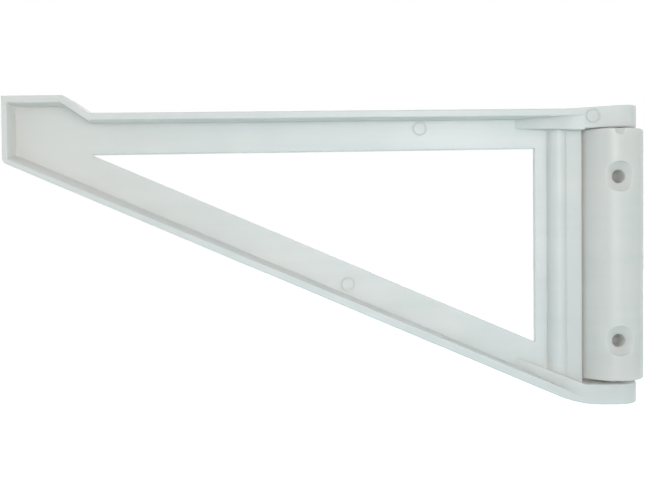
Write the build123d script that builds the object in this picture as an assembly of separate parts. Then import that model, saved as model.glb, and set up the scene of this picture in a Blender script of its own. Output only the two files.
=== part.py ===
from build123d import *
import math
import os

# Folding shelf bracket: a triangular arm that swings on two pins about a wall bracket.
# Millimetres, +Z up. X = 0 lies on the hinge axis, Y = 0 is the wall plane and -Y faces
# the room, Z = 0 is midway between the two wall screws. The arm is folded to the left.

# Wall bracket
barrel_width = 25.0        # diameter of the half-round front, and width at the wall
axis_offset = 12.0         # wall plane to the hinge axis
barrel_top = 50.7          # top end above the middle of the two screws
barrel_base = 47.6         # bottom end below the middle of the two screws
barrel_wall = 3.0          # wall of the hollow moulding
barrel_edge = 0.4          # bevel of the two end edges
end_wall = 9.0             # bearing length for a hinge pin at each end
middle_rib = 2.5           # cross rib that stiffens the hollow back
screw_spacing = 64.0
screw_hole = 5.2
recess_width = 11.6        # recess for the screw head
recess_depth = 0.9         # straight side of the recess, at the front line
seat_dish = 1.7            # fall of the dished seat from the recess to the hole
seat_thickness = 5.2       # front line to the back of the screw seat
seat_margin = 2.2          # pad beyond the recess, up and down
screw_tube = 10.4          # outer diameter of the sleeve from the seat to the wall
dimple_radius = 2.8        # round gate dimple in the front of the top edge
dimple_depth = 1.7

# Hinge pins
pin_diameter = 8.0
pin_engagement = 8.0       # length of pin inside the wall bracket
pin_chamfer = 0.6
pin_sink = 0.4             # pin head below the outer face of its lug
running_gap = 0.08         # radial clearance of a pin in the wall bracket

# Arm
arm_reach = 239.9          # hinge axis to the tip
arm_width = 19.6           # flange and lugs, across
arm_clearance = 0.3        # hinge bar to the side of the wall bracket
upper_gap = 0.3            # upper lug over the wall bracket, at its root
lower_gap = 1.7            # lower lug under the wall bracket
upper_lug = 7.6            # thickness at its root
lower_lug = 8.0
lug_top_rise = 3.4         # degrees: the upper lug is bent up towards its free end
lug_under_rise = 1.7       # degrees
lug_rise_start = 6.2       # hinge bar's inner face to the start of the upper rise
tip_height = 18.9          # tip below the shelf line
nose_height = 7.0          # raised nose above the shelf line
nose_length = 23.8
nose_slope = 10.2          # run of the slope from the nose down to the shelf line
tip_corner = 2.5           # rounding of the tip's lower corner
foot_run = 2.4             # flat foot beyond the hinge bar's inner face
lug_blend = 45.0           # rounding between the diagonal and the flat foot
outline_edge = 0.5         # rounding along the outer edges

# Arm section
web = 3.0
top_flange = 2.7
tip_flange = 2.1
diagonal_flange = 1.9      # at the rim, under the tip
root_flange = 3.7          # and under the hinge
flange_taper = 0.5         # top and tip flanges are thicker by this at the web
diagonal_foot = 4.0        # thickness of the diagonal flange at the web
hinge_bar = 6.0
bar_setback = 5.0          # hinge bar behind the front of the lugs, on each face
rib_radius = 4.4           # half-round rib beside the hinge bar
rib_offset = 2.5           # centre of the rib beyond the hinge bar
rib_sink = 0.6             # and below the face of the web
gusset_start = 25.6        # lug's root to the thin end of a gusset
gusset_end = 4.0           # lug's root to where a gusset is full width
gusset_blend = 25.0        # and the rounding there
upper_gusset = 8.2         # depth below the shelf line, at the lug's root
upper_gusset_end = 6.7     # and at its thin end
lower_gusset_end = 7.2     # lower gusset at its thin end, square to the diagonal

# Opening in the web
top_member = 14.7          # at the hinge end
top_member_rise = 0.3      # degrees: it is deeper towards the tip
diagonal_member = 15.9
hinge_member = 17.7
opening_corner = 0.2

# Moulding marks
mark_width = 5.6           # ring left by an ejector pin
mark_groove = 0.5
mark_depth = 0.25
top_mark_x = 76.4          # hinge axis to the mark in the top member
top_mark_drop = 6.4        # shelf line to that mark
diagonal_mark_x = 105.4
lug_mark_x = 9.8
lug_mark_drop = 3.0

# Sizes that follow from these
barrel_radius = barrel_width / 2
front_y = -axis_offset - barrel_radius
seat_y = front_y + seat_thickness
screw_heights = (screw_spacing / 2, -screw_spacing / 2)
half_width = arm_width / 2
bar_face = barrel_radius + arm_clearance
bar_back = bar_face + hinge_bar
shelf_z = barrel_top + upper_gap + upper_lug
lug_top_x = -bar_face - lug_rise_start
lug_top_z = shelf_z + (half_width - lug_top_x) * math.tan(math.radians(lug_top_rise))
lug_under_z = barrel_top + upper_gap
lug_under_end_z = lug_under_z + (half_width + bar_face) * math.tan(math.radians(lug_under_rise))
lower_lug_z = -barrel_base - lower_gap
foot_z = lower_lug_z - lower_lug
tip_z = shelf_z - tip_height
foot_x = -bar_face - foot_run
fall = (tip_z - foot_z) / (arm_reach + foot_x)
fall_angle = math.atan(fall)
pin_radius = pin_diameter / 2
mid_plane = Plane(origin=(0, -axis_offset, 0), x_dir=(1, 0, 0), z_dir=(0, -1, 0))


def diagonal_z(x, inset=0):
    """Height of the arm's lower edge at x, or of a line set in from it."""
    return tip_z - fall * (x + arm_reach) + inset / math.cos(fall_angle)


def side_face(points):
    """Closed face in the arm's middle plane, from points (x, z)."""
    return mid_plane * make_face(Polyline(*points, close=True))


def corner(face, x, z):
    """The vertex of a side face nearest to (x, z)."""
    return face.vertices().sort_by_distance((x, -axis_offset, z))[0]


def both_faces(tool):
    """A tool made on the back face of the arm, and its mirror image on the front."""
    return tool + mirror(tool, about=mid_plane)


def arm_outline():
    """Side view of the arm: raised nose, shelf line, two lugs and the diagonal."""
    nose_end = -arm_reach + nose_length
    face = side_face([
        (-arm_reach, shelf_z + nose_height),
        (nose_end, shelf_z + nose_height),
        (nose_end + nose_slope, shelf_z),
        (lug_top_x, shelf_z),
        (half_width, lug_top_z),
        (half_width, lug_under_end_z),
        (-bar_face, lug_under_z),
        (-bar_face, lower_lug_z),
        (half_width, lower_lug_z),
        (half_width, foot_z),
        (foot_x, foot_z),
        (-arm_reach, tip_z),
    ])
    face = fillet(corner(face, foot_x, foot_z), lug_blend)
    face = fillet(corner(face, -arm_reach, tip_z), tip_corner)
    return face


def arm_blank():
    """The outline at full width, with round lugs and softened outer edges."""
    block = extrude(arm_outline(), half_width, both=True)
    length = 2 * arm_reach
    plan = Pos(-length / 2, -axis_offset, 0) * Box(length, arm_width, length)
    plan += Pos(0, -axis_offset, 0) * Cylinder(half_width, length)
    block &= plan
    across = block.edges().filter_by(Axis.Y)
    seams = block.edges().filter_by(Axis.Z).filter_by_position(Axis.X, -web, web)
    return fillet(block.edges() - across - seams, outline_edge)


def gussets():
    """Two slabs that widen from the web to the full width of the lugs."""
    start = -bar_face - gusset_start
    full = -bar_face - gusset_end
    upper = side_face([
        (start, shelf_z - upper_gusset_end),
        (-bar_face, shelf_z - upper_gusset),
        (0, shelf_z - upper_gusset),
        (0, shelf_z),
        (start, shelf_z),
    ])
    lower = side_face([
        (start, diagonal_z(start)),
        (0, diagonal_z(0)),
        (0, lower_lug_z),
        (-bar_face, lower_lug_z),
        (start, diagonal_z(start, lower_gusset_end)),
    ])
    slabs = extrude(upper, half_width, both=True) + extrude(lower, half_width, both=True)
    wedge = make_face(Polyline(
        (start, -axis_offset - web / 2),
        (full, -axis_offset - half_width),
        (0, -axis_offset - half_width),
        (0, -axis_offset + half_width),
        (full, -axis_offset + half_width),
        (start, -axis_offset + web / 2),
        close=True,
    ))
    wide = wedge.vertices().filter_by_position(Axis.X, full - web, full + web)
    wedge = fillet(wide, gusset_blend)
    return slabs & extrude(wedge, arm_reach, both=True)


def ribs():
    """Half-round rib on each face of the web, beside the hinge bar."""
    tall = shelf_z - foot_z
    middle = (shelf_z + foot_z) / 2
    place = Pos(-bar_back - rib_offset, -axis_offset + web / 2 - rib_sink, middle)
    return both_faces(place * Cylinder(rib_radius, tall))


def bar():
    """Hinge bar between the gussets, set back from the faces of the lugs."""
    place = Pos(-bar_face - hinge_bar / 2, -axis_offset, (shelf_z + foot_z) / 2)
    return place * Box(hinge_bar, arm_width - 2 * bar_setback, shelf_z - foot_z)


def pocket_face(y, tip, top, tip_end, hinge_end):
    """Side view of a pocket at the depth y, from the flange thicknesses there."""
    inside = -arm_reach + tip
    nose_end = -arm_reach + nose_length
    ease = top * math.tan(math.atan(nose_height / nose_slope) / 2)
    return Pos(0, y, 0) * side_face([
        (inside, shelf_z + nose_height - top),
        (nose_end - ease, shelf_z + nose_height - top),
        (nose_end + nose_slope - ease, shelf_z - top),
        (0, shelf_z - top),
        (0, diagonal_z(0, hinge_end)),
        (inside, diagonal_z(inside, tip_end)),
    ])


def pockets():
    """What is taken from each face of the arm, down to the web."""
    rim = pocket_face(half_width, tip_flange, top_flange, diagonal_flange, root_flange)
    foot = pocket_face(web / 2, tip_flange + flange_taper, top_flange + flange_taper,
                       diagonal_foot, diagonal_foot)
    return both_faces(loft([foot, rim], ruled=True))


def opening():
    """Triangle through the web, with small corners."""
    right = -bar_face - hinge_member
    rise = math.tan(math.radians(top_member_rise))
    top = shelf_z - top_member
    tip_x = (diagonal_z(0, diagonal_member) - top + rise * right) / (fall + rise)
    face = side_face([
        (tip_x, top + rise * (tip_x - right)),
        (right, top),
        (right, diagonal_z(right, diagonal_member)),
    ])
    face = fillet(face.vertices(), opening_corner)
    return extrude(face, half_width, both=True)


def mark(x, y, z):
    """Shallow ring, sunk from a face that looks towards -Y."""
    ring = Cylinder(mark_width / 2, 2 * mark_depth)
    ring -= Cylinder(mark_width / 2 - mark_groove, 2 * mark_depth)
    return Pos(x, y, z) * Rot(90, 0, 0) * ring


def moulding_marks():
    """Ejector marks on the web, and one on the front of the upper lug."""
    web_y = -axis_offset - web / 2
    marks = mark(-top_mark_x, web_y, shelf_z - top_mark_drop)
    marks += mark(-diagonal_mark_x, web_y, diagonal_z(-diagonal_mark_x, diagonal_member / 2))
    marks += mark(-lug_mark_x, -axis_offset - half_width, shelf_z - lug_mark_drop)
    return marks


def folding_arm():
    body = arm_blank()
    body -= pockets() - gussets() - bar() - ribs()
    body -= opening()
    body -= moulding_marks()
    body -= Pos(0, -axis_offset, 0) * Cylinder(pin_radius, 2 * arm_reach)
    return body


def d_section(radius, low, high, back=0):
    """Half-round bar about the hinge axis, with straight sides back to the wall."""
    face = Pos(0, -axis_offset) * Circle(radius)
    face &= Pos(0, -axis_offset - radius / 2) * Rectangle(2 * radius, radius)
    face += Pos(0, (back - axis_offset) / 2) * Rectangle(2 * radius, axis_offset + back)
    return Pos(0, 0, low) * extrude(face, high - low)


def screw_seat(z):
    """Pad behind the front wall that the screw head bears on, and its sleeve to the wall."""
    tall = recess_width + 2 * seat_margin
    pad = d_section(barrel_radius - barrel_wall / 2, z - tall / 2, z + tall / 2)
    pad &= Pos(0, seat_y - barrel_radius, z) * Box(barrel_width, barrel_width, tall)
    return pad + Pos(0, front_y / 2, z) * Rot(90, 0, 0) * Cylinder(screw_tube / 2, -front_y)


def screw_hole_tool(z):
    """Recess with a dished seat, and the hole on through the sleeve."""
    radius = recess_width / 2
    hole = screw_hole / 2
    foot = recess_depth + seat_dish
    profile = Plane.XY * make_face(Polyline(
        (0, -1), (radius, -1), (radius, recess_depth), (hole, foot),
        (hole, 1 - front_y), (0, 1 - front_y), close=True,
    ))
    return Pos(0, front_y, z) * revolve(profile, Axis.Y)


def wall_bracket():
    body = d_section(barrel_radius, -barrel_base, barrel_top)
    rims = body.edges().filter_by(Plane.XY).filter_by_position(Axis.Y, front_y, -barrel_edge)
    body = chamfer(rims, barrel_edge)
    hollow = d_section(barrel_radius - barrel_wall, -barrel_base + end_wall,
                       barrel_top - end_wall, back=1)
    for z in screw_heights:
        hollow -= screw_seat(z)
    hollow -= Pos(0, -axis_offset, 0) * Box(barrel_width, 2 * axis_offset + barrel_width,
                                            middle_rib)
    body -= hollow
    for z in screw_heights:
        body -= screw_hole_tool(z)
    for end in (-barrel_base, barrel_top):
        bore = Cylinder(pin_radius + running_gap, 2 * end_wall)
        body -= Pos(0, -axis_offset, end) * bore
    dimple = Pos(0, front_y + dimple_depth - dimple_radius, barrel_top)
    body -= dimple * Sphere(dimple_radius)
    return body


def hinge_pin(low, high):
    """Plain pin with a chamfer at each end."""
    pin = Pos(0, -axis_offset, (low + high) / 2) * Cylinder(pin_radius, high - low)
    return chamfer(pin.edges().filter_by(GeomType.CIRCLE), pin_chamfer)


def upper_pin():
    head = shelf_z + (-pin_radius - lug_top_x) * math.tan(math.radians(lug_top_rise))
    return hinge_pin(barrel_top - pin_engagement, head - pin_sink)


def lower_pin():
    return hinge_pin(foot_z + pin_sink, -barrel_base + pin_engagement)


nodes = {
    "folding_arm": folding_arm(),
    "wall_bracket": wall_bracket(),
    "hinge_pin_upper": upper_pin(),
    "hinge_pin_lower": lower_pin(),
}

os.makedirs("parts", exist_ok=True)
for name, solid in nodes.items():
    export_step(solid, f"parts/{name}.step")
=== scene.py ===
import math

import bpy
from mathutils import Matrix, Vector

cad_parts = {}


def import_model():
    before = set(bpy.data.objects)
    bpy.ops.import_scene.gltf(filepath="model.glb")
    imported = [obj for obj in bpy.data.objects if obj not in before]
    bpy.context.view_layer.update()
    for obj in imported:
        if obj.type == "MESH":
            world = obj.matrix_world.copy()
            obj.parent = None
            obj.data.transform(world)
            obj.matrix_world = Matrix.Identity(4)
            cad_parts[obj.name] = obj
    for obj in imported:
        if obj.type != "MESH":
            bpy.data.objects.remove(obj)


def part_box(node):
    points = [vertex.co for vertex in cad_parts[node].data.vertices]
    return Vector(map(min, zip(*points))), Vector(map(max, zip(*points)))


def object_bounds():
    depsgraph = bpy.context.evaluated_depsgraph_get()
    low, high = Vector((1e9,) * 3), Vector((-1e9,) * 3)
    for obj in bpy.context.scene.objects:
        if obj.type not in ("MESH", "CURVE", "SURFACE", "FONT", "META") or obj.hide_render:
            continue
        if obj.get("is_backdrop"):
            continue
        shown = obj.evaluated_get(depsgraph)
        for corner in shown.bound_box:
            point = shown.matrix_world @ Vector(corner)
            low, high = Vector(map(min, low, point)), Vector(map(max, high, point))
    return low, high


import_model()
cad_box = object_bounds()

# Lengths are in metres unless a comment says otherwise.

# The camera stands in front of the arm's middle and looks down a little.
CAMERA_PLACE = (-0.1154, -0.363, 0.0122)
CAMERA_PITCH = math.radians(1.31)
CAMERA_ROLL = math.radians(0.53)
CAMERA_NEAR = 0.01
FOCAL_SHARE = 875 / 645        # focal length over the width of the picture
SENSOR = 36.0                  # mm

WHITE = (1.0, 1.0, 1.0)
FLOOR_DROP = 0.24              # floor below the lowest point of the bracket
FLOOR_SIZE = 12.0
FLOOR_PAINT = (0.73, 0.88, 0.90)
FLOOR_ROUGHNESS = 0.9
FLOOR_LIFT = 0.7               # what the camera sees of the floor beyond its lit colour
AMBIENT = 0.49                 # strength of the world's light
AMBIENT_COLOUR = (0.94, 1.0, 1.0)
LAMP_COLOUR = (1.0, 0.985, 0.965)

LAMPS = {
    # name: (direction from the object, distance, size, strength in watts)
    "key": ((0.264, -1.0, 0.243), 0.373, 0.06, 0.11),
    "front": ((0.1, -1.0, 0.06), 1.6, 0.8, 5.1),
    "left": ((-1.0, -0.8, 0.4), 1.5, 1.0, 1.85),
    "right": ((1.0, -1.0, 0.1), 1.7, 1.2, 1.7),
    "back": ((0.2, 1.0, 0.7), 1.6, 1.2, 3.5),
}

# Noise: its scale, and its detail.
CLOUDS = (11.0, 2.0)
MOTTLING = (45.0, 3.0)
STREAKS = (1.0, 3.0)           # stretched by each plastic's own streak_scale
PEEL = (260.0, 2.0)
GRAIN = (2600.0, 3.0)
RINGS = (900.0, 3.0)
RING_STRETCH = (0.3, 0.3, 4.0)

# Bumps: their height, and their strength.
FLOW_BUMP = (0.0002, 0.10)
PEEL_BUMP = (0.0004, 0.10)
GRAIN_BUMP = (0.00005, 0.20)
RING_BUMP = (0.00008, 0.3)

# The values of a noise between which a surface goes from one look to the other.
CLOUD_VALUES = (0.38, 0.62)
MOTTLE_VALUES = (0.35, 0.65)
STREAK_VALUES = (0.4, 0.7)
GLOSS_VALUES = (0.3, 0.7)

SHADE = (0.66, 0.695, 0.685)   # the darker tone of the mottling and streaks
MOTTLE = 0.30                  # how far they go towards it
WARM_LIGHT_TINT = (0.80, 0.76, 0.735)     # painted warm light: the arm's end is tinted as if lit warmer
WARM_LIGHT_SHARE = 0.75
WARM_LIGHT_REACH = 0.10
CORNER_SHADE = (0.50, 0.51, 0.50)     # painted shade darkening the corners
CORNER_SHADE_REACH = 0.0012
CORNER_SHADE_OPEN = (0.55, 0.85)      # how open a place is with all the painted shade, and with none
GAP_LIGHT = (0.93, 0.90, 0.87)      # painted light: a pale warm colour that lifts the dark gaps
GAP_LIGHT_SHARE = 1.0
GAP_LIGHT_OPEN = (0.15, 0.55)
OPEN_SAMPLES = 8

EDGE_RADIUS = 0.0005
EDGE_SAMPLES = 6
PLASTIC_ROUGHNESS = (0.31, 0.40)
PLASTIC_IOR = 1.49
PLASTIC_DEPTH = 0.0045         # how far light spreads inside the plastic
STEEL_TONES = ((0.52, 0.52, 0.53), (0.38, 0.38, 0.40))
STEEL_ROUGHNESS = (0.28, 0.42)


def new_material(name):
    """A new node material, its node tree and its Principled shader."""
    material = bpy.data.materials.new(name)
    material.use_nodes = True
    tree = material.node_tree
    return material, tree, tree.nodes["Principled BSDF"]


def noise(tree, kind, stretch=None):
    """Noise in object space, stretched where three scales are given."""
    scale, detail = kind
    coordinates = tree.nodes.new("ShaderNodeTexCoord")
    texture = tree.nodes.new("ShaderNodeTexNoise")
    texture.inputs["Scale"].default_value = scale
    texture.inputs["Detail"].default_value = detail
    source = coordinates.outputs["Object"]
    if stretch:
        mapping = tree.nodes.new("ShaderNodeMapping")
        mapping.inputs["Scale"].default_value = stretch
        tree.links.new(source, mapping.inputs["Vector"])
        source = mapping.outputs["Vector"]
    tree.links.new(source, texture.inputs["Vector"])
    return texture.outputs["Fac"]


def span(tree, value, source, target):
    """Map a value from one range to another, with its ends held."""
    node = tree.nodes.new("ShaderNodeMapRange")
    node.inputs["From Min"].default_value, node.inputs["From Max"].default_value = source
    node.inputs["To Min"].default_value, node.inputs["To Max"].default_value = target
    tree.links.new(value, node.inputs["Value"])
    return node.outputs["Result"]


def mix_colour(tree, factor, first, second):
    """Mix two colours, each given as three numbers or as a node's output."""
    node = tree.nodes.new("ShaderNodeMix")
    node.data_type = "RGBA"
    for name, colour in (("A", first), ("B", second)):
        socket = next(i for i in node.inputs if i.name == name and i.type == "RGBA")
        if isinstance(colour, tuple):
            socket.default_value = (*colour, 1.0)
        else:
            tree.links.new(colour, socket)
    tree.links.new(factor, node.inputs["Factor"])
    return next(o for o in node.outputs if o.type == "RGBA")


def bump(tree, height, kind, normal=None):
    """Normal for a height, on top of another normal where one is given."""
    distance, strength = kind
    node = tree.nodes.new("ShaderNodeBump")
    node.inputs["Distance"].default_value = distance
    node.inputs["Strength"].default_value = strength
    tree.links.new(height, node.inputs["Height"])
    if normal:
        tree.links.new(normal, node.inputs["Normal"])
    return node.outputs["Normal"]


def soft_edges(tree):
    """Normal that rounds off the sharp edges of a moulding."""
    node = tree.nodes.new("ShaderNodeBevel")
    node.samples = EDGE_SAMPLES
    node.inputs["Radius"].default_value = EDGE_RADIUS
    return node.outputs["Normal"]


def crevice(tree, reach, openness, share):
    """share in the tightest places, falling to 0 on open faces."""
    node = tree.nodes.new("ShaderNodeAmbientOcclusion")
    node.samples = OPEN_SAMPLES
    node.inputs["Distance"].default_value = reach
    return span(tree, node.outputs["AO"], openness, (share, 0.0))


def painted_warm_light(tree, node):
    """WARM_LIGHT_SHARE at a node's end furthest towards -X, falling to 0 over WARM_LIGHT_REACH."""
    # Painted warm light: a warmer tint towards the node's -X end, standing in for light.
    coordinates = tree.nodes.new("ShaderNodeTexCoord")
    parts = tree.nodes.new("ShaderNodeSeparateXYZ")
    tree.links.new(coordinates.outputs["Object"], parts.inputs["Vector"])
    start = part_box(node)[0][0]
    return span(tree, parts.outputs["X"], (start, start + WARM_LIGHT_REACH), (WARM_LIGHT_SHARE, 0.0))


def white_plastic(name, warm, cool, streak_scale, gap_light_reach, corner_shade_share, warm_lit_node=None):
    """Satin moulded plastic: clouded tint, flow streaks, orange peel, painted shade in the
    corners, painted light in the gaps and, where asked, painted warm light on an end.
    """
    material, tree, shader = new_material(name)
    streaks = noise(tree, STREAKS, streak_scale)
    clouds = span(tree, noise(tree, CLOUDS), CLOUD_VALUES, (0.0, 1.0))
    mottling = span(tree, noise(tree, MOTTLING), MOTTLE_VALUES, (0.0, MOTTLE))
    flow = span(tree, streaks, STREAK_VALUES, (0.0, MOTTLE))

    tint = mix_colour(tree, clouds, warm, cool)
    tint = mix_colour(tree, mottling, tint, SHADE)
    tint = mix_colour(tree, flow, tint, SHADE)
    # painted warm light towards the arm's end
    if warm_lit_node:
        tint = mix_colour(tree, painted_warm_light(tree, warm_lit_node), tint, WARM_LIGHT_TINT)
    # painted shade: corners darkened where they are tight
    corner_shade = crevice(tree, CORNER_SHADE_REACH, CORNER_SHADE_OPEN, corner_shade_share)
    tint = mix_colour(tree, corner_shade, tint, CORNER_SHADE)
    # painted light: the gaps lightened towards a pale colour
    gap_light = crevice(tree, gap_light_reach, GAP_LIGHT_OPEN, GAP_LIGHT_SHARE)
    tint = mix_colour(tree, gap_light, tint, GAP_LIGHT)
    tree.links.new(tint, shader.inputs["Base Color"])

    rough = span(tree, streaks, GLOSS_VALUES, PLASTIC_ROUGHNESS)
    tree.links.new(rough, shader.inputs["Roughness"])
    normal = bump(tree, streaks, FLOW_BUMP, soft_edges(tree))
    normal = bump(tree, noise(tree, PEEL), PEEL_BUMP, normal)
    normal = bump(tree, noise(tree, GRAIN), GRAIN_BUMP, normal)
    tree.links.new(normal, shader.inputs["Normal"])

    shader.inputs["IOR"].default_value = PLASTIC_IOR
    shader.inputs["Subsurface Weight"].default_value = 1.0
    shader.inputs["Subsurface Radius"].default_value = (1.0, 1.0, 1.0)
    shader.inputs["Subsurface Scale"].default_value = PLASTIC_DEPTH
    return material


def pin_steel():
    """Turned steel: rings of fine machining round the pin's axis."""
    material, tree, shader = new_material("pin_steel")
    rings = noise(tree, RINGS, RING_STRETCH)
    shader.inputs["Metallic"].default_value = 1.0
    tree.links.new(mix_colour(tree, rings, *STEEL_TONES), shader.inputs["Base Color"])
    rough = span(tree, rings, GLOSS_VALUES, STEEL_ROUGHNESS)
    tree.links.new(rough, shader.inputs["Roughness"])
    tree.links.new(bump(tree, rings, RING_BUMP), shader.inputs["Normal"])
    return material


def dress(node, material):
    """Give a CAD node its material."""
    mesh = bpy.data.objects[node].data
    mesh.materials.clear()
    mesh.materials.append(material)


def seen_directly(tree):
    """1 for what the camera sees, straight, in a gloss or through glass, and 0 for light."""
    path = tree.nodes.new("ShaderNodeLightPath")
    total = path.outputs["Is Camera Ray"]
    for ray in ("Is Glossy Ray", "Is Transmission Ray"):
        add = tree.nodes.new("ShaderNodeMath")
        add.operation = "MAXIMUM"
        tree.links.new(total, add.inputs[0])
        tree.links.new(path.outputs[ray], add.inputs[1])
        total = add.outputs[0]
    return total


def floor():
    """Pale floor, white to the camera where no shadow lies."""
    low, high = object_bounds()
    bpy.ops.mesh.primitive_plane_add(size=FLOOR_SIZE)
    plane = bpy.context.object
    plane.name = "floor"
    plane.location = ((low[0] + high[0]) / 2, (low[1] + high[1]) / 2, low[2] - FLOOR_DROP)
    material, tree, shader = new_material("floor_paint")
    shader.inputs["Base Color"].default_value = (*FLOOR_PAINT, 1.0)
    shader.inputs["Roughness"].default_value = FLOOR_ROUGHNESS
    shader.inputs["Emission Color"].default_value = (*WHITE, 1.0)
    lift = span(tree, seen_directly(tree), (0.0, 1.0), (0.0, FLOOR_LIFT))
    tree.links.new(lift, shader.inputs["Emission Strength"])
    plane.data.materials.append(material)
    plane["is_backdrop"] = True


def lamps():
    """Round soft lamps, all turned to the middle of the object."""
    low, high = (Vector(corner) for corner in cad_box)
    middle = (low + high) / 2
    for name, (direction, distance, size, watts) in LAMPS.items():
        data = bpy.data.lights.new(name, "AREA")
        data.shape = "DISK"
        data.size = size
        data.energy = watts
        data.color = LAMP_COLOUR
        lamp = bpy.data.objects.new(name, data)
        way = Vector(direction).normalized()
        lamp.location = middle + way * distance
        lamp.rotation_euler = (-way).to_track_quat("-Z", "Y").to_euler()
        bpy.context.collection.objects.link(lamp)


def world():
    """Even light from all round, and white where the camera looks past the floor."""
    sky = bpy.data.worlds.new("studio")
    sky.use_nodes = True
    tree = sky.node_tree
    light = tree.nodes["Background"]
    seen = seen_directly(tree)
    colour = mix_colour(tree, seen, AMBIENT_COLOUR, WHITE)
    tree.links.new(colour, light.inputs["Color"])
    level = span(tree, seen, (0.0, 1.0), (AMBIENT, 1.0))
    tree.links.new(level, light.inputs["Strength"])
    bpy.context.scene.world = sky


def camera():
    """The photograph's camera."""
    data = bpy.data.cameras.new("camera")
    data.sensor_width = SENSOR
    data.lens = SENSOR * FOCAL_SHARE
    data.clip_start = CAMERA_NEAR
    eye = bpy.data.objects.new("camera", data)
    eye.location = CAMERA_PLACE
    eye.rotation_euler = (math.radians(90) - CAMERA_PITCH, 0.0, 0.0)
    eye.rotation_euler.rotate_axis("Z", -CAMERA_ROLL)
    bpy.context.collection.objects.link(eye)
    bpy.context.scene.camera = eye


arm_plastic = white_plastic(
    "arm_plastic", warm=(0.775, 0.77, 0.76), cool=(0.75, 0.765, 0.76),
    streak_scale=(9.0, 60.0, 180.0), gap_light_reach=0.006, corner_shade_share=0.06, warm_lit_node="folding_arm")
bracket_plastic = white_plastic(
    "bracket_plastic", warm=(0.76, 0.73, 0.71), cool=(0.74, 0.73, 0.715),
    streak_scale=(14.0, 14.0, 220.0), gap_light_reach=0.009, corner_shade_share=0.5)
steel = pin_steel()
dress("folding_arm", arm_plastic)
dress("wall_bracket", bracket_plastic)
dress("hinge_pin_upper", steel)
dress("hinge_pin_lower", steel)

floor()
lamps()
world()
camera()
bpy.context.scene.view_settings.view_transform = "Standard"
